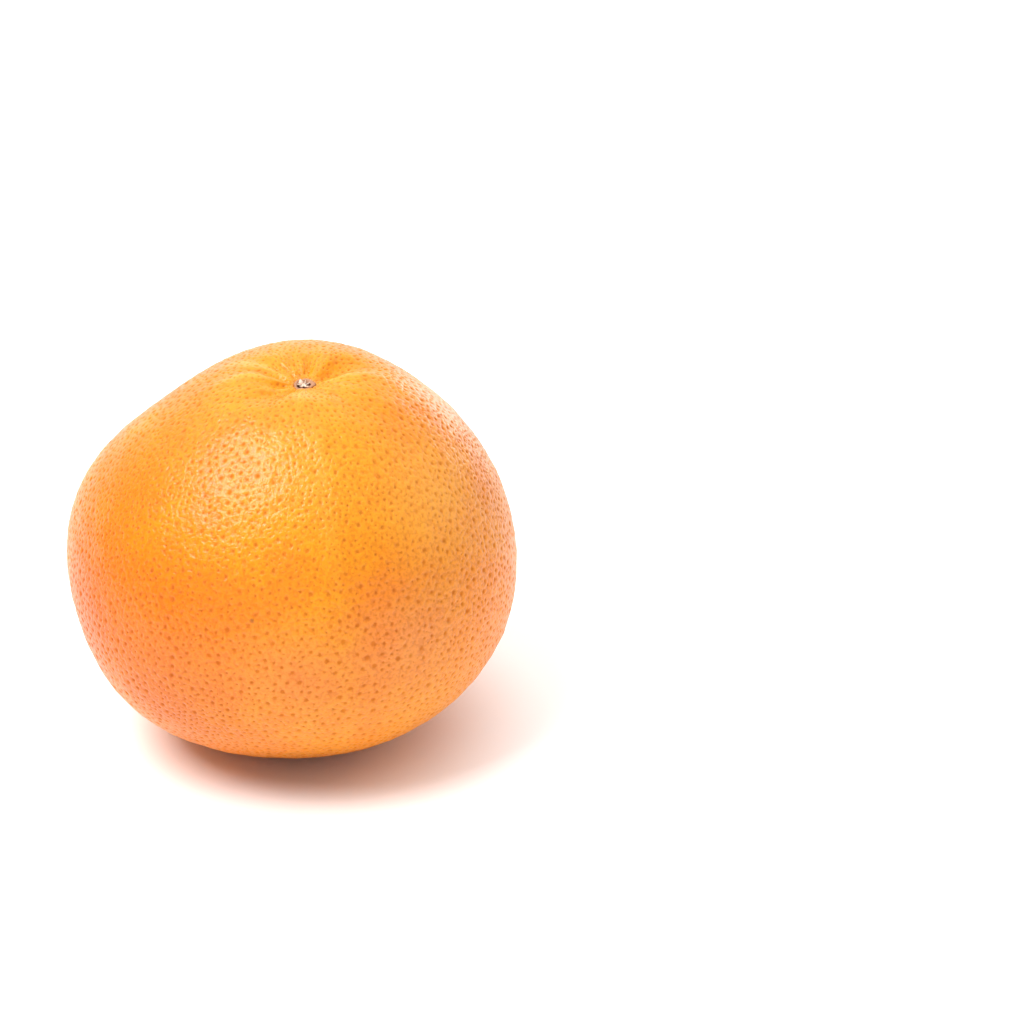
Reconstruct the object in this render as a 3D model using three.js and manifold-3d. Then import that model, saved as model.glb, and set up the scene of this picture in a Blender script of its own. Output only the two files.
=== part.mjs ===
// A whole ripe grapefruit, resting on the small flat spot of its blossom end, with the dry end of its
// stem still in the pit at the top. Millimetres, +Z up. The stem end leans a little forward, to -Y.
// The origin is the middle of the fruit's outline seen from above, on the surface that it rests on.
import * as THREE from "three";
import { mergeVertices } from "three/addons/utils/BufferGeometryUtils.js";
import Module from "manifold-3d";

// Body of the fruit, measured along and across its own stem axis from the widest ring.
const FRUIT_RADIUS = 54.9;
const UPPER_HEIGHT = 54.8; // to where the shoulders would meet over the pit
const LOWER_HEIGHT = 43.4;
const UPPER_FULLNESS = 1.88; // 2 is an ellipse, less is more pointed, more is squarer
const LOWER_FULLNESS = 2.2;
const STEM_DRIFT = 5; // how far the stem end has grown off the axis, towards +X
const LEAN_DEGREES = 9; // of the shoulders and the stem, from upright towards -Y
const LEAN_START = -0.5 * LOWER_HEIGHT; // the height where the lean begins
const LEAN_END = 0.6 * UPPER_HEIGHT; // the height where it is full
const PRESSED_FLAT = 1.3; // how much of the blossom end the flat spot takes off

// The pit around the stem, and the socket in its floor that holds the stem end.
const PIT_DEPTH = 4.2;
const PIT_RADIUS = 8.5;
const SOCKET_RADIUS = 2.5;
const SOCKET_DEPTH = 1.7;
const GAP = 0.3;

// The dry stem end is a low button with five lobes.
const BUTTON_RADIUS = 1.95;
const BUTTON_LOBE = 0.22;
const BUTTON_LOBES = 5;
const BUTTON_HEIGHT = 1.2;
const BUTTON_BEVEL = 0.15;

// Furrows run out from the pit: azimuth in degrees from +X, the rest in millimetres. The furrow is
// deepest at its reach from the stem and fades past it.
const FURROWS = [
  { azimuth: 27, depth: 1.7, reach: 10.5, halfWidth: 3.6 },
  { azimuth: 78, depth: 0.5, reach: 9, halfWidth: 2.2 },
  { azimuth: 147, depth: 1.2, reach: 11, halfWidth: 2.4 },
  { azimuth: 214, depth: 1.2, reach: 8.5, halfWidth: 2.3 },
  { azimuth: 326, depth: 0.7, reach: 17, halfWidth: 4.5 },
];

// Broad swells and hollows of the rind. Polar is the angle down from the stem, in degrees like
// azimuth and spread, and height is in millimetres.
const SWELLS = [
  { place: "left back shoulder", azimuth: 144, polar: 50, height: -2.4, spread: 22 },
  { place: "left cheek", azimuth: 165, polar: 70, height: 1.0, spread: 22 },
  { place: "left waist", azimuth: 192, polar: 106, height: -2.3, spread: 22 },
  { place: "right back shoulder", azimuth: 39, polar: 48, height: -1.0, spread: 22 },
];

// Faint lobes left by the segments inside: how many go round, and how far each set stands out.
const LOBES = [
  { count: 3, height: 0.35, azimuth: 80 },
  { count: 5, height: 0.25, azimuth: 10 },
];

// Facets: rings close together over the pit and the furrows, wider over the rest.
const COLUMNS = 72;
const PIT_RINGS = 18;
const BODY_RINGS = 25;
const PIT_EDGE_ANGLE = 0.46; // radians from the stem
const SOCKET_SIDES = 32;
const WELD = 0.001;

const RIND_COLOUR = 0xf99f3c;
const STEM_COLOUR = 0xa8826a;

const ACROSS = new THREE.Vector3(1, 0, 0);
const BACK = new THREE.Vector3(0, 1, 0);
const UP = new THREE.Vector3(0, 0, 1);
const LEAN = THREE.MathUtils.degToRad(LEAN_DEGREES);

const wasm = await Module();
wasm.setup();

/** A closed geometry as a solid that can be cut. */
function solidFrom(geometry) {
  const bare = geometry.clone();
  bare.deleteAttribute("normal");
  bare.deleteAttribute("uv");
  const welded = mergeVertices(bare, WELD);
  const corners = welded.index.array;
  const triangles = [];
  for (let i = 0; i < corners.length; i += 3) {
    const [a, b, c] = [corners[i], corners[i + 1], corners[i + 2]];
    if (a !== b && b !== c && c !== a) {
      triangles.push(a, b, c);
    }
  }
  const mesh = new wasm.Mesh({
    numProp: 3,
    vertProperties: welded.attributes.position.array,
    triVerts: new Uint32Array(triangles),
  });
  return new wasm.Manifold(mesh);
}

/** A solid as a geometry. */
function geometryFrom(solid) {
  const mesh = solid.getMesh();
  const geometry = new THREE.BufferGeometry();
  geometry.setAttribute("position", new THREE.BufferAttribute(mesh.vertProperties, 3));
  geometry.setIndex(new THREE.BufferAttribute(mesh.triVerts, 1));
  geometry.computeVertexNormals();
  return geometry;
}

/** The plain half outline of the fruit, from the blossom end up to the stem, as a turned shape takes it. */
function halfOutline() {
  const angles = [];
  for (let ring = 0; ring < PIT_RINGS; ring += 1) {
    angles.push((PIT_EDGE_ANGLE * ring) / PIT_RINGS);
  }
  for (let ring = 0; ring <= BODY_RINGS; ring += 1) {
    angles.push(PIT_EDGE_ANGLE + ((Math.PI - PIT_EDGE_ANGLE) * ring) / BODY_RINGS);
  }
  const outline = angles.map((angle) => {
    const upper = angle < Math.PI / 2;
    const power = 2 / (upper ? UPPER_FULLNESS : LOWER_FULLNESS);
    const height = upper ? UPPER_HEIGHT : -LOWER_HEIGHT;
    const radius = FRUIT_RADIUS * Math.sin(angle) ** power;
    return new THREE.Vector2(radius, height * Math.abs(Math.cos(angle)) ** power);
  });
  outline[0].x = 0;
  outline[outline.length - 1].x = 0;
  return outline.reverse();
}

/** A direction from the fruit's middle, given in degrees. */
function direction(azimuth, polar) {
  const down = THREE.MathUtils.degToRad(polar);
  const round = THREE.MathUtils.degToRad(azimuth);
  return UP.clone().applyAxisAngle(BACK, down).applyAxisAngle(UP, round);
}

/** How far the pit and the furrows lower the rind at a distance and azimuth from the stem. */
function stemHollow(distance, azimuth) {
  let drop = PIT_DEPTH * Math.exp(-((distance / PIT_RADIUS) ** 2));
  for (const furrow of FURROWS) {
    const turn = azimuth - THREE.MathUtils.degToRad(furrow.azimuth);
    if (Math.cos(turn) > 0) {
      const across = (distance * Math.sin(turn)) / furrow.halfWidth;
      const along = (distance / furrow.reach) ** 2;
      drop += furrow.depth * along * Math.exp(1 - along) * Math.exp(-(across ** 2));
    }
  }
  return drop;
}

/** Moves a point of the turned body to where the grown rind is. */
function growPoint(point) {
  const distance = Math.hypot(point.x, point.y);
  const azimuth = Math.atan2(point.y, point.x);
  const rise = Math.max(point.z, 0) / UPPER_HEIGHT;
  if (point.z > 0) {
    point.z -= stemHollow(distance, azimuth);
  }
  point.x += STEM_DRIFT * rise ** 2;
  const outward = point.clone().normalize();
  const girth = (distance / FRUIT_RADIUS) ** 2;
  let swell = 0;
  for (const lobe of LOBES) {
    const turn = azimuth - THREE.MathUtils.degToRad(lobe.azimuth);
    swell += lobe.height * girth * Math.cos(lobe.count * turn);
  }
  for (const { azimuth: side, polar, height, spread } of SWELLS) {
    const away = THREE.MathUtils.radToDeg(outward.angleTo(direction(side, polar)));
    swell += height * Math.exp(-((away / spread) ** 2));
  }
  point.addScaledVector(outward, swell);
  return point.applyAxisAngle(ACROSS, LEAN * THREE.MathUtils.smoothstep(point.z, LEAN_START, LEAN_END));
}

/** The outer shape of the rind, with its stem end leaning. */
function grownBody() {
  const body = new THREE.LatheGeometry(halfOutline(), COLUMNS);
  body.rotateX(Math.PI / 2);
  const places = body.attributes.position;
  const point = new THREE.Vector3();
  for (let i = 0; i < places.count; i += 1) {
    growPoint(point.fromBufferAttribute(places, i));
    places.setXYZ(i, point.x, point.y, point.z);
  }
  return body;
}

/** The five-lobed stem end, standing on z = 0. */
function stemButton() {
  const outline = new THREE.Shape();
  const sides = BUTTON_LOBES * 8;
  for (let side = 0; side < sides; side += 1) {
    const turn = (2 * Math.PI * side) / sides;
    const radius = BUTTON_RADIUS - BUTTON_BEVEL + BUTTON_LOBE * (Math.cos(BUTTON_LOBES * turn) - 1);
    const corner = [radius * Math.cos(turn), radius * Math.sin(turn)];
    if (side === 0) {
      outline.moveTo(...corner);
    } else {
      outline.lineTo(...corner);
    }
  }
  outline.closePath();
  const button = new THREE.ExtrudeGeometry(outline, {
    depth: BUTTON_HEIGHT - 2 * BUTTON_BEVEL,
    bevelSize: BUTTON_BEVEL,
    bevelThickness: BUTTON_BEVEL,
    bevelSegments: 1,
  });
  return button.translate(0, 0, BUTTON_BEVEL);
}

const socketFloor = UPPER_HEIGHT - PIT_DEPTH - SOCKET_DEPTH;

// The socket's cutter stands on the socket's floor, and leans with the stem end.
const socket = new THREE.CylinderGeometry(SOCKET_RADIUS, SOCKET_RADIUS, PIT_RADIUS, SOCKET_SIDES);
socket.rotateX(Math.PI / 2);
socket.translate(STEM_DRIFT, 0, socketFloor + PIT_RADIUS / 2);
socket.rotateX(LEAN);

const body = grownBody();
body.computeBoundingBox();
const underside = body.boundingBox.min.z;

// The surface it rests on presses the blossom end flat.
const block = new THREE.BoxGeometry(4 * FRUIT_RADIUS, 4 * FRUIT_RADIUS, FRUIT_RADIUS);
block.translate(0, 0, underside + PRESSED_FLAT - FRUIT_RADIUS / 2);

const rind = geometryFrom(solidFrom(body).subtract(solidFrom(socket)).subtract(solidFrom(block)));
rind.computeBoundingBox();
const middle = rind.boundingBox.getCenter(new THREE.Vector3());

const fruit = new THREE.Mesh(
  rind,
  new THREE.MeshStandardMaterial({ color: RIND_COLOUR, roughness: 0.4, metalness: 0 }),
);
fruit.name = "fruit";

const button = new THREE.Mesh(
  stemButton(),
  new THREE.MeshStandardMaterial({ color: STEM_COLOUR, roughness: 0.85, metalness: 0 }),
);
button.name = "stem_button";
button.position.set(STEM_DRIFT, 0, socketFloor + GAP);

const stemAxis = new THREE.Group();
stemAxis.rotation.x = LEAN;
stemAxis.add(button);

const grapefruit = new THREE.Group();
grapefruit.add(fruit, stemAxis);
grapefruit.position.set(-middle.x, -middle.y, -rind.boundingBox.min.z);

export default grapefruit;
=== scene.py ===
"""A whole ripe grapefruit on a white sweep: its pored rind, its dry stem end, and plain studio light."""

import logging
import math
import random
from dataclasses import dataclass
from enum import Enum, IntEnum

import bmesh
import bpy
from mathutils import Matrix, Vector, noise
from mathutils.bvhtree import BVHTree


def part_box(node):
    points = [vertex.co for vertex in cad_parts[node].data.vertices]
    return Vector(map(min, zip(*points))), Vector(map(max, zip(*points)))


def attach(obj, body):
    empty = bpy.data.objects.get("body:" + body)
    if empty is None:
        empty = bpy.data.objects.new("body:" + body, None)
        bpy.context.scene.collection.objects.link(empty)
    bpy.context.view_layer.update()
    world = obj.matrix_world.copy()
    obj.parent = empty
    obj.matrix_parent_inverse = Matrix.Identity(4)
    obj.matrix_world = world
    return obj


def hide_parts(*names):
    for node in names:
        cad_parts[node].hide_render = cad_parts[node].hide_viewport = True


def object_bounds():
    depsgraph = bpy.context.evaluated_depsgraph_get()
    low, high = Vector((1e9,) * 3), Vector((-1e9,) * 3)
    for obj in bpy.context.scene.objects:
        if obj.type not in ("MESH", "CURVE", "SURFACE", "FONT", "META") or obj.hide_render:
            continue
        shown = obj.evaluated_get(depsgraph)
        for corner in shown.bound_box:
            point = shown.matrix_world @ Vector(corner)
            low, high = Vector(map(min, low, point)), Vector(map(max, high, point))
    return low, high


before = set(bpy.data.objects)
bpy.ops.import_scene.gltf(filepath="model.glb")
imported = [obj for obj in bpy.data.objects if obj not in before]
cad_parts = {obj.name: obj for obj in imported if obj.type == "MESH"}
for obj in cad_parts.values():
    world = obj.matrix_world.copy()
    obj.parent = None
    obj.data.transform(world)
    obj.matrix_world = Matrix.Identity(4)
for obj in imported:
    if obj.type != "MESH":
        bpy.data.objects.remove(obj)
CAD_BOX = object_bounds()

MM = 0.001
UP = Vector((0.0, 0.0, 1.0))

Rgba = tuple[float, float, float, float]

log = logging.getLogger("grapefruit")


class Slot(Enum):
    """The record's material slots."""

    RIND = "rind"
    STEM = "stem"


class Tissue(IntEnum):
    """The stem end's tissues, in the order of its materials."""

    CORK = 0
    WOOD = 1
    COLLAR = 2


class Lay(Enum):
    """How one colour is laid on another: it covers it, or it shades it."""

    COVER = "MIX"
    SHADE = "MULTIPLY"


def linear(hex_colour: str) -> Rgba:
    """Turns an sRGB hex colour into linear RGBA.

    Args:
        hex_colour: six hex digits after a hash.

    Returns:
        Red, green, blue and an alpha of one.
    """
    channels = [int(hex_colour[i : i + 2], 16) / 255 for i in (1, 3, 5)]
    turned = [c / 12.92 if c <= 0.04045 else ((c + 0.055) / 1.055) ** 2.4 for c in channels]
    return (turned[0], turned[1], turned[2], 1.0)


def smoothstep(low: float, high: float, value: float) -> float:
    """Eases from 0 at low to 1 at high."""
    t = min(max((value - low) / (high - low), 0.0), 1.0)
    return t * t * (3 - 2 * t)


def bell(distance: float, spread: float) -> float:
    """A smooth bump that is 1 at no distance and fades over the spread."""
    return math.exp(-((distance / spread) ** 2))


def add_node(
    tree: bpy.types.NodeTree, kind: str, inputs: dict | None = None, **settings: object
) -> bpy.types.Node:
    """Adds a shader node with its settings, values and links.

    Args:
        tree: the material's node tree.
        kind: the node's type name.
        inputs: input name or number to a value, or to an output socket that is linked to it.
        settings: properties of the node itself.

    Returns:
        The new node.
    """
    node = tree.nodes.new(kind)
    for name, value in settings.items():
        setattr(node, name, value)
    for name, value in (inputs or {}).items():
        if isinstance(value, bpy.types.NodeSocket):
            tree.links.new(value, node.inputs[name])
        else:
            node.inputs[name].default_value = value
    return node


def lay_colour(
    tree: bpy.types.NodeTree,
    under: bpy.types.NodeSocket | Rgba,
    hex_colour: str,
    where: bpy.types.NodeSocket,
    span: tuple[float, float],
    strength: float = 1.0,
    lay: Lay = Lay.COVER,
) -> bpy.types.NodeSocket:
    """Lays a colour on another where a value eases across a span.

    Args:
        tree: the material's node tree.
        under: the colour that is there already.
        hex_colour: the colour that is laid on it.
        where: the value that says where.
        span: the value where the new colour begins, and the value where it is at its strongest.
        strength: its share where it is strongest.
        lay: whether it covers or shades what is under it.

    Returns:
        The resulting colour.
    """
    share = add_node(
        tree,
        "ShaderNodeMapRange",
        {"Value": where, "From Min": span[0], "From Max": span[1], "To Max": strength},
        interpolation_type="SMOOTHSTEP",
    )
    laid = add_node(
        tree,
        "ShaderNodeMix",
        {0: share.outputs[0], 6: under, 7: linear(hex_colour)},
        data_type="RGBA",
        blend_type=lay.value,
    )
    return laid.outputs[2]


def new_material(name: str) -> tuple[bpy.types.Material, bpy.types.NodeTree]:
    """Makes an empty node material.

    Args:
        name: the material's name.

    Returns:
        The material and its cleared node tree.
    """
    material = bpy.data.materials.new(name)
    material.use_nodes = True
    material.node_tree.nodes.clear()
    return material, material.node_tree


def finish_material(tree: bpy.types.NodeTree, shader: bpy.types.Node) -> None:
    """Links a shader to the material's output."""
    add_node(tree, "ShaderNodeOutputMaterial", {"Surface": shader.outputs[0]})


def object_from(
    bm: bmesh.types.BMesh, name: str, materials: list[bpy.types.Material]
) -> bpy.types.Object:
    """Turns a bmesh into a smooth-shaded object at the origin, and frees it.

    Args:
        bm: the finished shape, in metres, in place.
        name: the object's name.
        materials: its materials, in slot order.

    Returns:
        The linked object.
    """
    for face in bm.faces:
        face.smooth = True
    mesh = bpy.data.meshes.new(name)
    bm.to_mesh(mesh)
    bm.free()
    for material in materials:
        mesh.materials.append(material)
    made = bpy.data.objects.new(name, mesh)
    bpy.context.scene.collection.objects.link(made)
    return made


@dataclass(frozen=True)
class Patch:
    """A soft round area of the rind with a colour laid on it, some of them painted shade and some painted
    sheen.
    """

    place: tuple[float, float, float]  # millimetres in the fruit's frame
    reach: float  # millimetres to where it has faded out
    colour: str
    strength: float


@dataclass(frozen=True)
class Crease:
    """A fold of the rind that runs out from the stem: a ridge if its height is positive, else a furrow."""

    azimuth: float  # degrees round the stem
    spread: float  # degrees to either side
    height: float  # millimetres
    start: float  # millimetres from the stem to where it begins
    reach: float  # millimetres from the stem to where it has faded out
    rise: float = 3.5  # millimetres over which it grows to its height
    full_share: float = 0.3  # share of the reach after which it fades

    def at(self, azimuth: float, off: float) -> float:
        """The fold's height at a place.

        Args:
            azimuth: degrees round the stem.
            off: millimetres from the stem's axis.

        Returns:
            Millimetres above the plain skin.
        """
        turn = (azimuth - self.azimuth + 180) % 360 - 180
        if off > self.reach or abs(turn) > 3 * self.spread:
            return 0.0
        grown = smoothstep(self.start, self.start + self.rise, off)
        left = smoothstep(self.reach, self.full_share * self.reach, off)
        return self.height * bell(turn, self.spread) * grown * left


@dataclass(frozen=True)
class WaxedRind:
    """Citrus rind as picked, washed and waxed."""

    # The wax gives the eye a broad soft highlight that the pores break up. Light spreads a little in the
    # oily flesh under it, so its shaded side stays warm and never turns grey.
    name: str = "waxed_citrus_rind"
    ground: str = "#f48b14"
    golden: str = "#f7990e"
    mottle_mm: float = 17.0
    mottle_span: tuple[float, float] = (0.35, 0.7)

    # Towards the stem the skin is more golden. Folds carry a painted highlight on their ridges and painted
    # shade in their furrows, and both spans are in millimetres of fold.
    stem_gold: str = "#f6a310"
    stem_gold_strength: float = 0.8
    stem_reach_mm: float = 30.0
    ridge: str = "#fab64c"
    ridge_highlight_span: tuple[float, float] = (0.05, 0.45)
    ridge_highlight_strength: float = 0.6
    furrow: str = "#f29405"
    furrow_shade_span: tuple[float, float] = (-0.02, -0.4)
    furrow_shade_strength: float = 0.85

    # The wrinkle of real rind is finer than this between its pores, and is drawn as coarse as it needs
    # to show. Near the stem it is drawn out into streaks, so many to a radian.
    grain_mm: float = 0.8
    streak_turns: float = 13.0
    streak_mm: float = 3.2
    # Painted shade darkens the rind where the wrinkle is low.
    wrinkle_shade_span: tuple[float, float] = (0.56, 0.38)
    wrinkle_shade_strength: float = 0.55
    bump_mm: float = 0.27
    bump_strength: float = 0.9

    # The pores carry painted shade, and the wax doesn't shine in them.
    painted_shade_tint: str = "#e5d2ac"
    pit_span: tuple[float, float] = (0.24, 0.8)
    wax_roughness: float = 0.3
    pit_roughness: float = 0.9
    glow_mm: float = 1.2

    def material(self, patches: tuple[Patch, ...], stem: Vector) -> bpy.types.Material:
        """Builds the rind's material.

        Args:
            patches: the blush and golden areas, with the painted shade and sheen among them.
            stem: the middle of the stem end, in metres.

        Returns:
            The material.
        """
        material, tree = new_material(self.name)
        place = add_node(tree, "ShaderNodeTexCoord").outputs["Object"]
        gland = add_node(tree, "ShaderNodeAttribute", attribute_name="gland").outputs["Fac"]
        wrinkle = self.wrinkle(tree, place, stem)
        skin = self.skin_colour(tree, place, patches, stem)
        # Painted shade in the low parts of the wrinkle and in the pore pits.
        skin = lay_colour(
            tree, skin, self.painted_shade_tint, wrinkle, self.wrinkle_shade_span, self.wrinkle_shade_strength, Lay.SHADE
        )
        skin = lay_colour(tree, skin, self.painted_shade_tint, gland, self.pit_span, lay=Lay.SHADE)
        roughness = add_node(
            tree,
            "ShaderNodeMapRange",
            {
                "Value": gland,
                "From Min": self.pit_span[0],
                "From Max": self.pit_span[1],
                "To Min": self.wax_roughness,
                "To Max": self.pit_roughness,
            },
            interpolation_type="SMOOTHSTEP",
        )
        bump = add_node(
            tree,
            "ShaderNodeBump",
            {"Height": wrinkle, "Strength": self.bump_strength, "Distance": self.bump_mm * MM},
        )
        shader = add_node(
            tree,
            "ShaderNodeBsdfPrincipled",
            {
                "Base Color": skin,
                "Roughness": roughness.outputs[0],
                "IOR": 1.45,
                "Subsurface Weight": 0.15,
                "Subsurface Radius": (1.0, 0.35, 0.08),
                "Subsurface Scale": self.glow_mm * MM,
                "Normal": bump.outputs[0],
            },
        )
        finish_material(tree, shader)
        return material

    def skin_colour(
        self, tree: bpy.types.NodeTree, place: bpy.types.NodeSocket, patches: tuple[Patch, ...], stem: Vector
    ) -> bpy.types.NodeSocket:
        """Colours the skin between its pores: mottle, golden stem end, patches, then a painted highlight on
        the fold ridges and painted shade in the furrows.

        Args:
            tree: the material's node tree.
            place: where on the fruit.
            patches: the blush and golden areas, with the painted shade and sheen among them.
            stem: the middle of the stem end, in metres.

        Returns:
            The colour.
        """
        mottle = add_node(
            tree,
            "ShaderNodeTexNoise",
            {"Vector": place, "Scale": 1 / (self.mottle_mm * MM), "Detail": 3.0, "Roughness": 0.55},
        )
        skin = lay_colour(tree, linear(self.ground), self.golden, mottle.outputs[0], self.mottle_span)
        round_stem = Patch(tuple(stem / MM), self.stem_reach_mm, self.stem_gold, self.stem_gold_strength)
        for patch in (round_stem, *patches):
            middle = Vector(patch.place) * MM
            apart = add_node(tree, "ShaderNodeVectorMath", {0: place, 1: middle}, operation="DISTANCE")
            span = (patch.reach * MM, 0.0)
            skin = lay_colour(tree, skin, patch.colour, apart.outputs["Value"], span, patch.strength)
        # Painted highlight on the ridges of the folds and painted shade in their furrows.
        fold = add_node(tree, "ShaderNodeAttribute", attribute_name="fold").outputs["Fac"]
        skin = lay_colour(tree, skin, self.ridge, fold, self.ridge_highlight_span, self.ridge_highlight_strength)
        return lay_colour(tree, skin, self.furrow, fold, self.furrow_shade_span, self.furrow_shade_strength)

    def wrinkle(
        self, tree: bpy.types.NodeTree, place: bpy.types.NodeSocket, stem: Vector
    ) -> bpy.types.NodeSocket:
        """The fine wrinkle of the skin: an even grain, drawn out away from the stem where it is puckered.

        Args:
            tree: the material's node tree.
            place: where on the fruit.
            stem: the middle of the stem end, in metres.

        Returns:
            The wrinkle's height, from 0 to 1.
        """
        grain = add_node(
            tree, "ShaderNodeTexNoise", {"Vector": place, "Scale": 1 / (self.grain_mm * MM), "Detail": 2.5}
        )
        away = add_node(tree, "ShaderNodeVectorMath", {0: place, 1: stem}, operation="SUBTRACT")
        flat = add_node(
            tree, "ShaderNodeVectorMath", {0: away.outputs[0], 1: (1.0, 1.0, 0.0)}, operation="MULTIPLY"
        )
        ray = add_node(tree, "ShaderNodeVectorMath", {0: flat.outputs[0]}, operation="NORMALIZE")
        turned = add_node(
            tree,
            "ShaderNodeVectorMath",
            {0: ray.outputs[0], "Scale": self.streak_turns},
            operation="SCALE",
        )
        off = add_node(tree, "ShaderNodeVectorMath", {0: flat.outputs[0]}, operation="LENGTH")
        out = add_node(
            tree,
            "ShaderNodeMath",
            {0: off.outputs["Value"], 1: 1 / (self.streak_mm * MM)},
            operation="MULTIPLY",
        )
        outward = add_node(tree, "ShaderNodeCombineXYZ", {"Z": out.outputs[0]})
        spot = add_node(
            tree, "ShaderNodeVectorMath", {0: turned.outputs[0], 1: outward.outputs[0]}, operation="ADD"
        )
        streaks = add_node(
            tree, "ShaderNodeTexNoise", {"Vector": spot.outputs[0], "Scale": 1.0, "Detail": 3.0}
        )
        apart = add_node(tree, "ShaderNodeVectorMath", {0: place, 1: stem}, operation="DISTANCE")
        near = add_node(
            tree,
            "ShaderNodeMapRange",
            {"Value": apart.outputs["Value"], "From Min": self.stem_reach_mm * MM, "From Max": 0.0},
            interpolation_type="SMOOTHSTEP",
        )
        drawn = add_node(
            tree, "ShaderNodeMix", {0: near.outputs[0], 2: grain.outputs[0], 3: streaks.outputs[0]}
        )
        return drawn.outputs[0]


@dataclass(frozen=True)
class DryStemTissue:
    """A tissue of the stem end, dried in the air and dull."""

    name: str
    dark: str
    light: str
    grain_mm: float = 0.5
    bump_mm: float = 0.1
    bump_strength: float = 0.6
    roughness: float = 0.85

    def material(self) -> bpy.types.Material:
        """Builds the tissue's material.

        Returns:
            The material.
        """
        material, tree = new_material(self.name)
        place = add_node(tree, "ShaderNodeTexCoord").outputs["Object"]
        grain = add_node(
            tree,
            "ShaderNodeTexNoise",
            {"Vector": place, "Scale": 1 / (self.grain_mm * MM), "Detail": 4.0, "Roughness": 0.6},
        )
        toned = add_node(
            tree,
            "ShaderNodeMix",
            {0: grain.outputs[0], 6: linear(self.dark), 7: linear(self.light)},
            data_type="RGBA",
        )
        bump = add_node(
            tree,
            "ShaderNodeBump",
            {"Height": grain.outputs[0], "Strength": self.bump_strength, "Distance": self.bump_mm * MM},
        )
        shader = add_node(
            tree,
            "ShaderNodeBsdfPrincipled",
            {"Base Color": toned.outputs[2], "Roughness": self.roughness, "Normal": bump.outputs[0]},
        )
        finish_material(tree, shader)
        return material


@dataclass(frozen=True)
class GlowingAcrylicSheet:
    """White acrylic sheet, cast and matt, with a painted glow that is none at the fruit's foot and rises
    further out, which tightens its shadow.
    """

    # It gives the eye a white ground that shows the fruit's soft, warm shadow, drawn tight by the painted
    # glow round it.
    name: str = "white_acrylic_sheet"
    colour: str = "#fafafa"
    light: str = "#ffffff"
    roughness: float = 0.5
    # The glow is painted light: the sheet is no lamp.
    painted_glow: float = 0.3
    painted_glow_span_mm: tuple[float, float] = (32.0, 66.0)  # from the middle of the fruit's foot

    def material(self) -> bpy.types.Material:
        """Builds the sheet's material.

        Returns:
            The material.
        """
        material, tree = new_material(self.name)
        place = add_node(tree, "ShaderNodeTexCoord").outputs["Object"]
        off = add_node(tree, "ShaderNodeVectorMath", {0: place}, operation="LENGTH")
        # Painted glow: none near the fruit's foot, full beyond the span.
        dark_end, bright_end = self.painted_glow_span_mm
        painted_glow = add_node(
            tree,
            "ShaderNodeMapRange",
            {
                "Value": off.outputs["Value"],
                "From Min": dark_end * MM,
                "From Max": bright_end * MM,
                "To Max": self.painted_glow,
            },
            interpolation_type="SMOOTHSTEP",
        )
        shader = add_node(
            tree,
            "ShaderNodeBsdfPrincipled",
            {
                "Base Color": linear(self.colour),
                "Roughness": self.roughness,
                "Emission Color": linear(self.light),
                "Emission Strength": painted_glow.outputs[0],
            },
        )
        finish_material(tree, shader)
        return material


@dataclass(frozen=True)
class StemAxis:
    """Where the stem end sits in its pit, and which way it points."""

    foot: Vector
    direction: Vector

    @classmethod
    def from_frame(cls, lean_degrees: float = 9.0) -> "StemAxis":
        """Reads the stem end's place from the frame.

        Args:
            lean_degrees: how far it leans to the front.

        Returns:
            The axis.
        """
        low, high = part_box("stem_button")
        lean = Matrix.Rotation(math.radians(lean_degrees), 3, "X")
        return cls((low + high) / 2, (lean @ UP).normalized())

    def polar(self, point: Vector) -> tuple[float, float, float]:
        """Measures a point from the axis.

        Args:
            point: the point, in metres.

        Returns:
            Its distance from the axis, its azimuth round it in radians, and its height along it.
        """
        away = point - self.foot
        height = away.dot(self.direction)
        flat = away - self.direction * height
        return flat.length, math.atan2(flat.y, flat.x), height

    def placement(self, raised: float) -> Matrix:
        """The matrix that carries a shape made upright at the origin to the stem end's place.

        Args:
            raised: how far above that place, in metres.

        Returns:
            The matrix.
        """
        turn = UP.rotation_difference(self.direction).to_matrix().to_4x4()
        return Matrix.Translation(self.foot + self.direction * raised) @ turn


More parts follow.
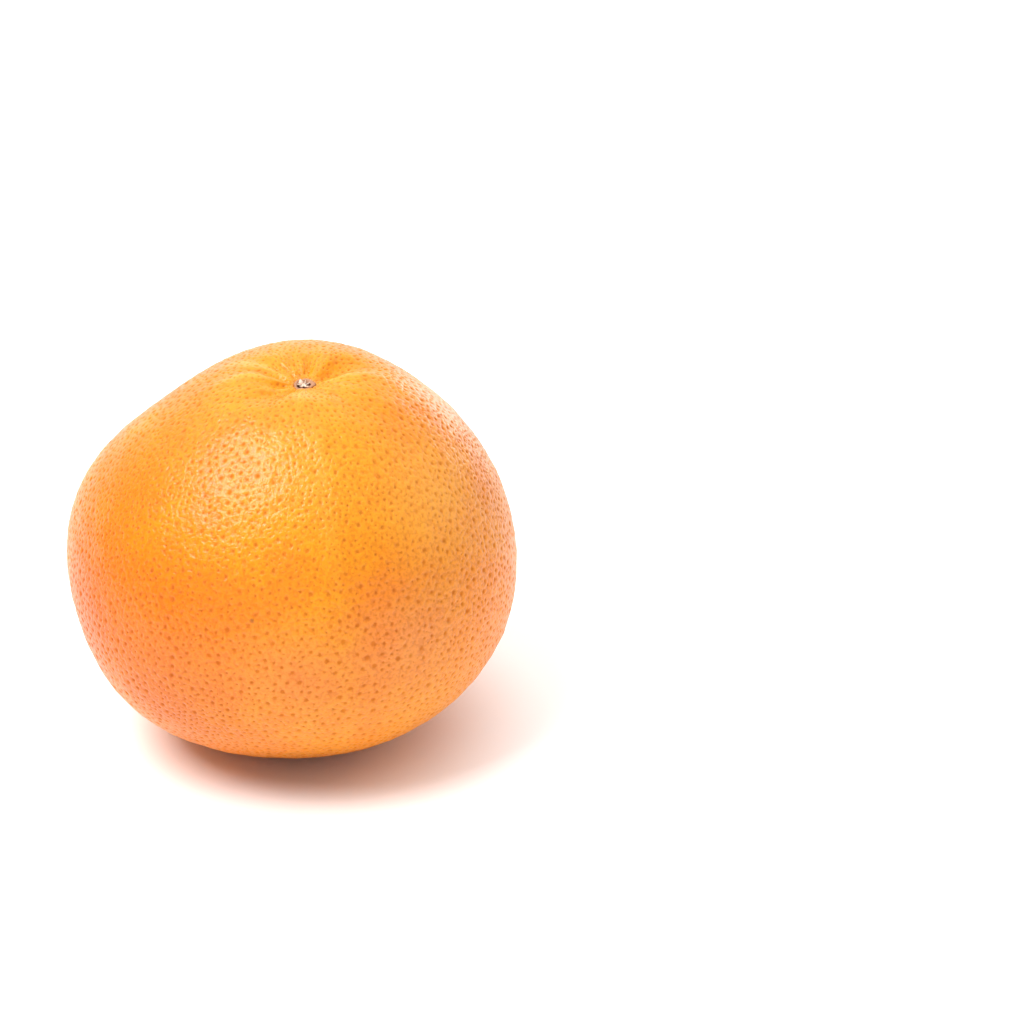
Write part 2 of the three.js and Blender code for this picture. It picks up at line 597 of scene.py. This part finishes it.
@dataclass
class Rind:
    """The fruit's whole outside: one closed skin with a shallow pore over each oil gland."""

    axis: StemAxis
    finish: WaxedRind
    patches: tuple[Patch, ...]
    creases: tuple[Crease, ...]
    seed: int = 11

    # How the glands are strewn over a ball before they are laid on the fruit.
    ball_radius: float = 100.0
    icosphere_levels: int = 6
    scatter: float = 0.62  # share of their spacing that they are pushed by
    three_axis_gain: float = 1.7  # how much longer a push along three axes is than along one
    relax_rounds: int = 2
    stem_crowding: float = 0.38  # share by which they draw together at the stem
    crowding_reach: float = 0.5  # radians from the stem

    # The pores. A strong pore has the full depth, and the weakest are this much weaker.
    pore_depth_mm: float = 0.26
    ridge_mm: float = 0.02
    ridge_share: float = 0.1  # of the glands' spacing
    rim_share: float = 0.55  # of a cell's width
    rim_least: float = 0.6
    rim_growth: float = 0.45
    rim_depth_share: float = 0.2
    rim_gland: float = 0.42  # the gland value on a pore's rim
    weakening: float = 0.4
    weak_rarity: float = 1.5

    # The larger unevenness of the skin.
    swell_mm: float = 0.15
    swell_size_mm: float = 4.0
    fine_swell_share: float = 0.6
    fine_swell_size_mm: float = 1.9
    foot_ease_mm: float = 1.5  # height above the floor over which the rind leaves its flat spot
    foot_pore_share: float = 0.3
    clear_of_floor_mm: float = 0.01

    # The puckered skin round the stem, above the shoulder.
    shoulder_mm: float = 40.0  # below the stem end
    pucker_mm: float = 0.6
    pucker_reach_mm: float = 15.0
    pucker_turns: float = 4.5
    pucker_run_mm: float = 8.0
    pucker_swell: float = 1.3
    wander_degrees: float = 7.0
    wander_mm: float = 9.0
    stem_hollow_mm: float = 1.4
    stem_hollow_rim_mm: float = 2.7
    stem_hollow_floor_mm: float = 1.7
    socket_radius_mm: float = 2.7
    socket_depth_mm: float = 6.0

    def build(self) -> bpy.types.Object:
        """Makes the rind and dresses it.

        Returns:
            The rind.
        """
        skin = self.cad_skin()
        bm = self.gland_cells()
        self.lay_on(bm, skin)
        made = object_from(bm, "rind", [self.finish.material(self.patches, self.axis.foot)])
        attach(made, "root")
        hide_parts("fruit")
        return made

    def cad_skin(self) -> BVHTree:
        """The CAD fruit's outside, rounded between its facets and closed over the stem's socket.

        Returns:
            A tree that rays are cast against.
        """
        bm = bmesh.new()
        bm.from_mesh(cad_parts["fruit"].data)
        bmesh.ops.remove_doubles(bm, verts=bm.verts, dist=0.002 * MM)
        in_socket = [v for v in bm.verts if self.is_socket(v.co)]
        bmesh.ops.delete(bm, geom=in_socket, context="VERTS")
        rim = [e for e in bm.edges if e.is_boundary]
        bmesh.ops.holes_fill(bm, edges=rim)
        bmesh.ops.join_triangles(bm, faces=bm.faces, angle_face_threshold=0.5, angle_shape_threshold=0.9)
        rough = object_from(bm, "skin_guide", [])
        rounding = rough.modifiers.new("rounding", "SUBSURF")
        rounding.levels = rounding.render_levels = 2
        rounding.subdivision_type = "CATMULL_CLARK"
        graph = bpy.context.evaluated_depsgraph_get()
        tree = BVHTree.FromObject(rough, graph)
        mesh = rough.data
        bpy.data.objects.remove(rough)
        bpy.data.meshes.remove(mesh)
        return tree

    def is_socket(self, point: Vector) -> bool:
        """Whether a point of the CAD fruit belongs to the stem's socket."""
        distance, _, height = self.axis.polar(point)
        return distance < self.socket_radius_mm * MM and abs(height) < self.socket_depth_mm * MM

    def gland_cells(self) -> bmesh.types.BMesh:
        """Strews the oil glands over a ball and makes one cell with a pore for each.

        Returns:
            The mesh, with the vertex values gland, 1 in the middle of a strong pore, and relief, which is
            millimetres above the plain skin.
        """
        rng = random.Random(self.seed)
        bm = bmesh.new()
        bmesh.ops.create_icosphere(bm, subdivisions=self.icosphere_levels, radius=self.ball_radius)
        # The spacing of as many points in even triangles on the ball.
        spacing = self.ball_radius * math.sqrt(8 * math.pi / math.sqrt(3) / len(bm.verts))
        for vert in bm.verts:
            push = Vector([rng.gauss(0, 1) for _ in range(3)])
            vert.co += push * (self.scatter * spacing / self.three_axis_gain)
        self.wrap(bm)
        for _ in range(self.relax_rounds):
            bmesh.ops.smooth_vert(
                bm, verts=bm.verts, factor=0.5, use_axis_x=True, use_axis_y=True, use_axis_z=True
            )
            self.wrap(bm)
        self.sink_pores(bm, self.dual(bm), self.ridge_share * spacing, rng)
        return bm

    def wrap(self, bm: bmesh.types.BMesh) -> None:
        """Joins the points, set on the ball, into the triangles that fit them best.

        Args:
            bm: the points, changed in place.
        """
        bmesh.ops.delete(bm, geom=bm.edges[:], context="EDGES_FACES")
        for vert in bm.verts:
            vert.co = vert.co.normalized() * self.ball_radius
        bmesh.ops.convex_hull(bm, input=bm.verts[:])

    @staticmethod
    def dual(bm: bmesh.types.BMesh) -> list[bmesh.types.BMFace]:
        """Turns a mesh of triangles into one cell round each of its points.

        Args:
            bm: a closed mesh of triangles, changed in place.

        Returns:
            The cells.
        """
        middles = bm.verts[:]
        joins = bm.edges[:]
        bmesh.ops.poke(bm, faces=bm.faces[:])
        bmesh.ops.rotate_edges(bm, edges=joins, use_ccw=False)
        bmesh.ops.dissolve_verts(bm, verts=middles)
        return bm.faces[:]

    def sink_pores(
        self, bm: bmesh.types.BMesh, cells: list[bmesh.types.BMFace], ridge: float, rng: random.Random
    ) -> None:
        """Rings each cell with a ridge and sinks a pore of its own strength in its middle.

        Args:
            bm: the cells' mesh, changed in place.
            cells: its cells.
            ridge: the width of the ridge round a cell, on the ball.
            rng: where the strengths are drawn from.
        """
        gland = bm.verts.layers.float.new("gland")
        relief = bm.verts.layers.float.new("relief")
        for vert in bm.verts:
            vert[relief] = self.ridge_mm
        bmesh.ops.inset_individual(bm, faces=cells, thickness=ridge, depth=0.0)
        strengths = []
        for cell in cells:
            strength = 1.0 - self.weakening * rng.random() ** self.weak_rarity
            width = self.rim_share * (self.rim_least + self.rim_growth * strength)
            middle = cell.calc_center_median()
            reach = sum((v.co - middle).length for v in cell.verts) / len(cell.verts)
            for vert in cell.verts:
                vert.co = middle + (vert.co - middle).normalized() * (reach * width)
                vert[gland] = self.rim_gland * strength
                vert[relief] = -self.rim_depth_share * self.pore_depth_mm * strength
            strengths.append(strength)
        centres = bmesh.ops.poke(bm, faces=cells, center_mode="MEAN")["verts"]
        for vert, strength in zip(centres, strengths):
            vert[gland] = strength
            vert[relief] = -self.pore_depth_mm * strength

    def lay_on(self, bm: bmesh.types.BMesh, skin: BVHTree) -> None:
        """Carries the ball of gland cells onto the fruit, with the vertex value fold, in millimetres.

        Args:
            bm: the cells, changed in place.
            skin: the plain outside of the fruit.
        """
        low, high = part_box("fruit")
        heart = (low + high) / 2
        stemward = (self.axis.foot - heart).normalized()
        relief = bm.verts.layers.float["relief"]
        fold = bm.verts.layers.float.new("fold")
        for vert in bm.verts:
            ray = self.crowd(vert.co.normalized(), stemward)
            hit, normal, _, _ = skin.ray_cast(heart, ray)
            if normal.dot(ray) < 0:
                normal = -normal
            vert[fold] = self.fold(hit)
            vert.co = hit + normal * ((self.height(hit, vert[relief]) + vert[fold]) * MM)
            vert.co.z = max(vert.co.z, self.clear_of_floor_mm * MM)

    def crowd(self, ray: Vector, stemward: Vector) -> Vector:
        """Draws directions together near the stem, where the glands are smaller and closer.

        Args:
            ray: a direction from the heart of the fruit.
            stemward: the direction of the stem end.

        Returns:
            The new direction.
        """
        angle = ray.angle(stemward)
        if angle < 1e-4:
            return ray
        pull = self.stem_crowding * bell(angle, self.crowding_reach)
        side = (ray - stemward * math.cos(angle)).normalized()
        drawn = angle * (1 - pull)
        return stemward * math.cos(drawn) + side * math.sin(drawn)

    def fold(self, place: Vector) -> float:
        """How far the folds round the stem raise the rind at a place.

        Args:
            place: the point on the plain skin, in metres.

        Returns:
            The fold's height in millimetres, negative in a furrow.
        """
        distance, azimuth, along = self.axis.polar(place)
        if along < -self.shoulder_mm * MM:
            return 0.0
        turned = math.degrees(azimuth) + self.wander_degrees * noise.noise(place / (self.wander_mm * MM))
        return sum(crease.at(turned, distance / MM) for crease in self.creases)

    def height(self, place: Vector, pore: float) -> float:
        """How far the rind stands above the plain skin at a place without folds.

        Args:
            place: the point on the plain skin, in metres.
            pore: what the gland there adds, in millimetres.

        Returns:
            The height in millimetres, negative for a hollow.
        """
        distance, azimuth, along = self.axis.polar(place)
        off = distance / MM
        spot = place / MM
        rest = smoothstep(0.0, self.foot_ease_mm, spot.z)
        broad = noise.noise(spot / self.swell_size_mm)
        fine = noise.noise(spot / self.fine_swell_size_mm)
        swell = self.swell_mm * (broad + self.fine_swell_share * fine) * rest
        if along < -self.shoulder_mm * MM:
            return pore * (self.foot_pore_share + (1 - self.foot_pore_share) * rest) + swell
        turn = (self.pucker_turns * math.cos(azimuth), self.pucker_turns * math.sin(azimuth))
        streak = noise.noise(Vector((*turn, off / self.pucker_run_mm)))
        near = bell(off, self.pucker_reach_mm)
        pucker = self.pucker_mm * streak * near + self.pucker_swell * swell * near
        hollow = -self.stem_hollow_mm * smoothstep(self.stem_hollow_rim_mm, self.stem_hollow_floor_mm, off)
        return pore + swell + pucker + hollow


@dataclass(frozen=True)
class Strand:
    """A woody strand that runs out from the middle of the stem end's cup to its rim."""

    azimuth: float  # degrees
    length: float  # millimetres
    width: float  # millimetres at the middle of the cup
    taper: float = 0.6
    sides: int = 8
    cuts: int = 4

    def shape(self) -> bmesh.types.BMesh:
        """Makes the strand, in millimetres, in the cup's own place.

        Returns:
            The strand's mesh.
        """
        bm = bmesh.new()
        bmesh.ops.create_cone(
            bm,
            cap_ends=True,
            segments=self.sides,
            radius1=self.width,
            radius2=self.taper * self.width,
            depth=self.length,
        )
        long_edges = [e for e in bm.edges if abs(e.verts[0].co.z - e.verts[1].co.z) > 0.5 * self.length]
        bmesh.ops.subdivide_edges(bm, edges=long_edges, cuts=self.cuts)
        lay = Matrix.Rotation(math.radians(self.azimuth), 4, "Z") @ Matrix.Rotation(math.radians(90), 4, "Y")
        outward = Matrix.Translation((0, 0, self.length / 2))
        bmesh.ops.transform(bm, matrix=lay @ outward, verts=bm.verts)
        for vert in bm.verts:
            out = math.hypot(vert.co.x, vert.co.y)
            # It starts above the cup's floor, sags a little and climbs to the rim.
            vert.co.z += 0.45 + 0.40 * (out / 1.8) ** 2 - 0.12 * math.sin(out * 2.4)
            vert.co += 0.10 * noise.noise_vector(vert.co * 2.2)
        return bm


@dataclass
class StemEnd:
    """What the fallen stem left in the pit: a corky cup crossed by pale woody strands."""

    axis: StemAxis
    cork: DryStemTissue
    wood: DryStemTissue
    collar: DryStemTissue
    strands: tuple[Strand, ...]
    seed: int = 5
    raised_mm: float = 0.25

    # The cup.
    radius_mm: float = 2.25
    steps: int = 40
    lobes: int = 5
    lobe_share: float = 0.06
    ragged_share: float = 0.12
    ragged_mm: float = 0.22
    collar_from_mm: float = 1.55  # from the axis
    collar_above_mm: float = 0.2

    # The knot where the strands meet, which lies off the axis.
    knot_radius_mm: float = 0.6
    knot_flatness: float = 0.7
    knot_ragged_mm: float = 0.16
    knot_place_mm: tuple[float, float, float] = (-0.75, 0.75, 0.65)

    def build(self) -> bpy.types.Object:
        """Makes the stem end and dresses it.

        Returns:
            The stem end.
        """
        # Noise vectors, which roughen the wood, are drawn by the clock unless they are given a seed.
        noise.seed_set(self.seed)
        bm = bmesh.new()
        self.turn_cup(bm)
        for strand in self.strands:
            self.join(bm, strand.shape())
        self.join(bm, self.knot())
        bmesh.ops.scale(bm, vec=(MM, MM, MM), verts=bm.verts)
        bmesh.ops.transform(bm, matrix=self.axis.placement(self.raised_mm * MM), verts=bm.verts)
        finishes = {Tissue.CORK: self.cork, Tissue.WOOD: self.wood, Tissue.COLLAR: self.collar}
        made = object_from(bm, "stem_scar", [finishes[tissue].material() for tissue in Tissue])
        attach(made, "root")
        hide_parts("stem_button")
        return made

    def turn_cup(self, bm: bmesh.types.BMesh) -> None:
        """Turns the corky cup about the stem axis, in millimetres, and makes it uneven.

        Args:
            bm: the stem end's mesh, still empty.
        """
        profile = (
            (0.0, -0.95),
            (1.3, -0.95),
            (1.95, -0.5),
            (self.radius_mm + 0.15, 0.25),
            (self.radius_mm + 0.22, 0.62),
            (self.radius_mm, 0.8),
            (1.82, 0.72),
            (1.62, 0.4),
            (1.45, -0.05),
            (0.8, -0.25),
            (0.0, -0.2),
        )
        points = [bm.verts.new((r, 0.0, z)) for r, z in profile]
        edges = [bm.edges.new(pair) for pair in zip(points, points[1:])]
        bmesh.ops.spin(
            bm,
            geom=points + edges,
            axis=(0, 0, 1),
            cent=(0, 0, 0),
            steps=self.steps,
            angle=2 * math.pi,
            use_merge=True,
        )
        bmesh.ops.remove_doubles(bm, verts=bm.verts, dist=0.001)
        bmesh.ops.recalc_face_normals(bm, faces=bm.faces)
        for vert in bm.verts:
            azimuth = math.atan2(vert.co.y, vert.co.x)
            lobe = self.lobe_share * math.cos(self.lobes * azimuth)
            uneven = lobe + self.ragged_share * noise.noise(vert.co * 0.9)
            vert.co.x *= 1 + uneven
            vert.co.y *= 1 + uneven
            vert.co.z += self.ragged_mm * noise.noise(vert.co * 1.3 + Vector((7.0, 0.0, 0.0)))
        for face in bm.faces:
            middle = face.calc_center_median()
            if middle.z > self.collar_above_mm and math.hypot(middle.x, middle.y) > self.collar_from_mm:
                face.material_index = Tissue.COLLAR

    def knot(self) -> bmesh.types.BMesh:
        """Makes the pale knot where the strands meet.

        Returns:
            The knot's mesh, in millimetres.
        """
        bm = bmesh.new()
        bmesh.ops.create_icosphere(bm, subdivisions=3, radius=self.knot_radius_mm)
        for vert in bm.verts:
            vert.co.z *= self.knot_flatness
            vert.co += self.knot_ragged_mm * noise.noise_vector(vert.co * 2.5 + Vector((3.0, 1.0, 0.0)))
            vert.co += Vector(self.knot_place_mm)
        return bm

    @staticmethod
    def join(bm: bmesh.types.BMesh, woody: bmesh.types.BMesh) -> None:
        """Puts a woody bit into the stem end's mesh, and frees it.

        Args:
            bm: the stem end's mesh, changed in place.
            woody: the strand or knot.
        """
        for face in woody.faces:
            face.material_index = Tissue.WOOD
        carrier = bpy.data.meshes.new("carrier")
        woody.to_mesh(carrier)
        woody.free()
        bm.from_mesh(carrier)
        bpy.data.meshes.remove(carrier)


@dataclass(frozen=True)
class Falloff:
    """A change in the room's light between two places along an axis of the room."""

    axis: str
    span: tuple[float, float]  # the cosine of the angle to that axis, where it begins and ends
    light: tuple[float, float]


@dataclass(frozen=True)
class Softbox:
    """A square softbox that faces the middle of the fruit."""

    name: str
    offset: tuple[float, float, float]  # metres from the middle of the fruit
    side: float  # metres
    watts: float

    def hang(self, middle: Vector) -> None:
        """Hangs the softbox in the studio.

        Args:
            middle: the middle of the fruit.
        """
        offset = Vector(self.offset)
        data = bpy.data.lights.new(self.name, "AREA")
        data.shape = "SQUARE"
        data.size = self.side
        data.energy = self.watts
        light = bpy.data.objects.new(self.name, data)
        light.location = middle + offset
        light.rotation_euler = (-offset).to_track_quat("-Z", "Y").to_euler()
        bpy.context.scene.collection.objects.link(light)


@dataclass
class Studio:
    """The white floor, the soft lights and the camera, placed from the fruit's size."""

    box_low: Vector
    box_high: Vector
    sheet: GlowingAcrylicSheet
    falloffs: tuple[Falloff, ...]
    softboxes: tuple[Softbox, ...]
    floor_side_m: float = 12.0
    elevation: float = 26.0
    lens_mm: float = 100.0
    sensor_mm: float = 36.0
    distance_mm: float = 686.0
    nearest_mm: float = 10.0
    aim_right_share: float = 0.488  # of the fruit's width
    aim_height_share: float = 0.574  # of its height

    def build(self) -> None:
        """Sets the stage."""
        self.add_floor()
        self.add_world()
        for softbox in self.softboxes:
            softbox.hang((self.box_low + self.box_high) / 2)
        self.add_camera()
        bpy.context.scene.view_settings.view_transform = "Standard"

    def add_floor(self) -> None:
        """Lays the white floor."""
        bm = bmesh.new()
        bmesh.ops.create_grid(bm, x_segments=1, y_segments=1, size=self.floor_side_m / 2)
        floor = object_from(bm, "floor", [self.sheet.material()])

    def add_world(self) -> None:
        """Surrounds the set with white light, brightest from the backdrop and weaker from the sides."""
        world = bpy.data.worlds.new("white_room")
        world.use_nodes = True
        tree = world.node_tree
        tree.nodes.clear()
        ray = add_node(tree, "ShaderNodeTexCoord").outputs["Generated"]
        towards = add_node(tree, "ShaderNodeSeparateXYZ", {0: ray})
        strength = 1.0
        for falloff in self.falloffs:
            inputs = {
                "Value": towards.outputs[falloff.axis],
                "From Min": falloff.span[0],
                "From Max": falloff.span[1],
                "To Min": falloff.light[0],
                "To Max": falloff.light[1],
            }
            eased = add_node(tree, "ShaderNodeMapRange", inputs, interpolation_type="SMOOTHSTEP")
            both = {0: strength, 1: eased.outputs[0]}
            strength = add_node(tree, "ShaderNodeMath", both, operation="MULTIPLY").outputs[0]
        sky = add_node(tree, "ShaderNodeBackground", {"Color": linear("#ffffff"), "Strength": strength})
        add_node(tree, "ShaderNodeOutputWorld", {"Surface": sky.outputs[0]})
        bpy.context.scene.world = world

    def add_camera(self) -> None:
        """Stands the camera in front, looking a little down."""
        size = self.box_high - self.box_low
        aim = Vector((self.aim_right_share * size.x, 0.0, self.aim_height_share * size.z))
        tilt = math.radians(self.elevation)
        back = Vector((0.0, -math.cos(tilt), math.sin(tilt)))
        data = bpy.data.cameras.new("camera")
        data.lens = self.lens_mm
        data.sensor_width = self.sensor_mm
        data.clip_start = self.nearest_mm * MM
        camera = bpy.data.objects.new("camera", data)
        camera.location = aim + back * (self.distance_mm * MM)
        camera.rotation_euler = (math.radians(90) - tilt, 0.0, 0.0)
        bpy.context.scene.collection.objects.link(camera)
        bpy.context.scene.camera = camera


PATCHES = (
    # Blush on the left cheek and down the front.
    Patch((-42.0, -30.0, 46.0), 40.0, "#dc6604", 0.85),
    Patch((-22.0, -48.0, 50.0), 28.0, "#e67606", 0.75),
    Patch((-26.0, -46.0, 26.0), 30.0, "#d96f1e", 0.75),
    Patch((4.0, -53.0, 40.0), 20.0, "#f0843a", 0.5),
    Patch((30.0, -44.0, 46.0), 22.0, "#f4904a", 0.5),
    # Golden on the right, above and below, with painted sheen in the one above; then the deeper right cheek,
    # partly its tone and partly painted shade.
    Patch((34.0, -28.0, 72.0), 24.0, "#ffae40", 0.8),
    Patch((33.0, -38.0, 20.0), 28.0, "#f79d08", 0.7),
    # Partly painted shade.
    Patch((48.0, -24.0, 40.0), 26.0, "#fc8e02", 0.85),
    # Painted shade under the front of the belly, and golden under the stem, partly painted sheen.
    Patch((2.0, -34.0, 6.0), 22.0, "#c97304", 0.85),
    Patch((10.0, -34.0, 78.0), 24.0, "#fbae28", 0.65),
    # One brown speck, the tan skin round the stem, and the mark where the blossom was.
    Patch((-5.1, -52.7, 53.5), 0.9, "#8a4a1c", 0.75),
    Patch((4.9, -8.3, 91.8), 4.2, "#c98a58", 1.0),
    Patch((0.6, -0.4, 0.0), 3.4, "#8c5a30", 0.9),
)

CREASES = (
    # The folds at the left of the stem.
    Crease(151.0, 6.0, 0.7, 2.0, 30.0),
    Crease(163.0, 6.0, -0.5, 2.0, 26.0),
    Crease(177.0, 6.0, 0.6, 2.0, 28.0),
    Crease(192.0, 8.0, -0.35, 2.0, 15.0),
    Crease(208.0, 7.0, 0.5, 2.0, 17.0),
    Crease(229.0, 12.0, -0.8, 2.0, 20.0),
    # The swelling in front of it.
    Crease(268.0, 22.0, 0.7, 3.2, 14.0),
    # The folds at the right and the back.
    Crease(10.0, 8.0, 0.5, 2.0, 24.0),
    Crease(38.0, 14.0, -0.7, 2.0, 24.0),
    Crease(62.0, 9.0, 0.4, 2.0, 16.0),
    Crease(80.0, 8.0, -0.4, 2.0, 14.0),
    Crease(100.0, 8.0, 0.3, 2.0, 12.0),
    Crease(322.0, 12.0, -0.25, 5.0, 26.0),
    # A faint long line down the front, between two of the fruit's lobes.
    Crease(281.0, 6.0, 0.2, 14.0, 78.0),
)

STRANDS = (
    Strand(125.0, 1.75, 0.40),
    Strand(305.0, 1.95, 0.36),
    Strand(238.0, 1.60, 0.28),
    Strand(185.0, 1.60, 0.18),
    Strand(30.0, 1.50, 0.20),
    Strand(80.0, 1.50, 0.18),
)

# Bright behind, where the backdrop is, dim in front and at the far left, and a little dim at the right.
FALLOFFS = (
    Falloff("Y", (-0.5, 0.7), (0.42, 1.35)),
    Falloff("X", (-0.9, -0.4), (0.2, 1.0)),
    Falloff("X", (0.5, 0.9), (1.0, 0.9)),
)

# The main light hangs overhead to the left and the front, and a small one stands low behind at the right.
SOFTBOXES = (
    Softbox("overhead_softbox", (-0.60, -0.38, 1.14), 0.68, 19.0),
    Softbox("rim_softbox", (0.54, 1.15, 0.02), 0.45, 2.4),
)


def report(piece: bpy.types.Object) -> None:
    """Logs a piece's size and triangle count.

    Args:
        piece: the finished piece.
    """
    size = [d / MM for d in piece.dimensions]
    count = sum(len(p.vertices) - 2 for p in piece.data.polygons)
    log.info("%s: %.1f x %.1f x %.1f mm, %d triangles", piece.name, *size, count)


def main() -> None:
    """Builds the fruit piece by piece, then the studio round it."""
    logging.basicConfig(level=logging.INFO, format="%(name)s: %(message)s")
    axis = StemAxis.from_frame()
    report(Rind(axis, WaxedRind(), PATCHES, CREASES).build())
    # Cork that dried in the cup gives the eye its darkest brown, dull and crumbly.
    cork = DryStemTissue("dried_stem_cork", "#38190c", "#7d4526")
    # Torn stem wood gives it pale, dry splinters across that dark.
    wood = DryStemTissue("dry_stem_wood", "#dcb79c", "#f6e6d2")
    # Skin that scarred over round the cup gives it a tan rim between the cork and the rind.
    collar = DryStemTissue("dried_stem_collar", "#9c6243", "#dba882")
    report(StemEnd(axis, cork, wood, collar, STRANDS).build())
    low, high = (Vector(corner) for corner in CAD_BOX)
    Studio(low, high, GlowingAcrylicSheet(), FALLOFFS, SOFTBOXES).build()


if __name__ == "__main__":
    main()
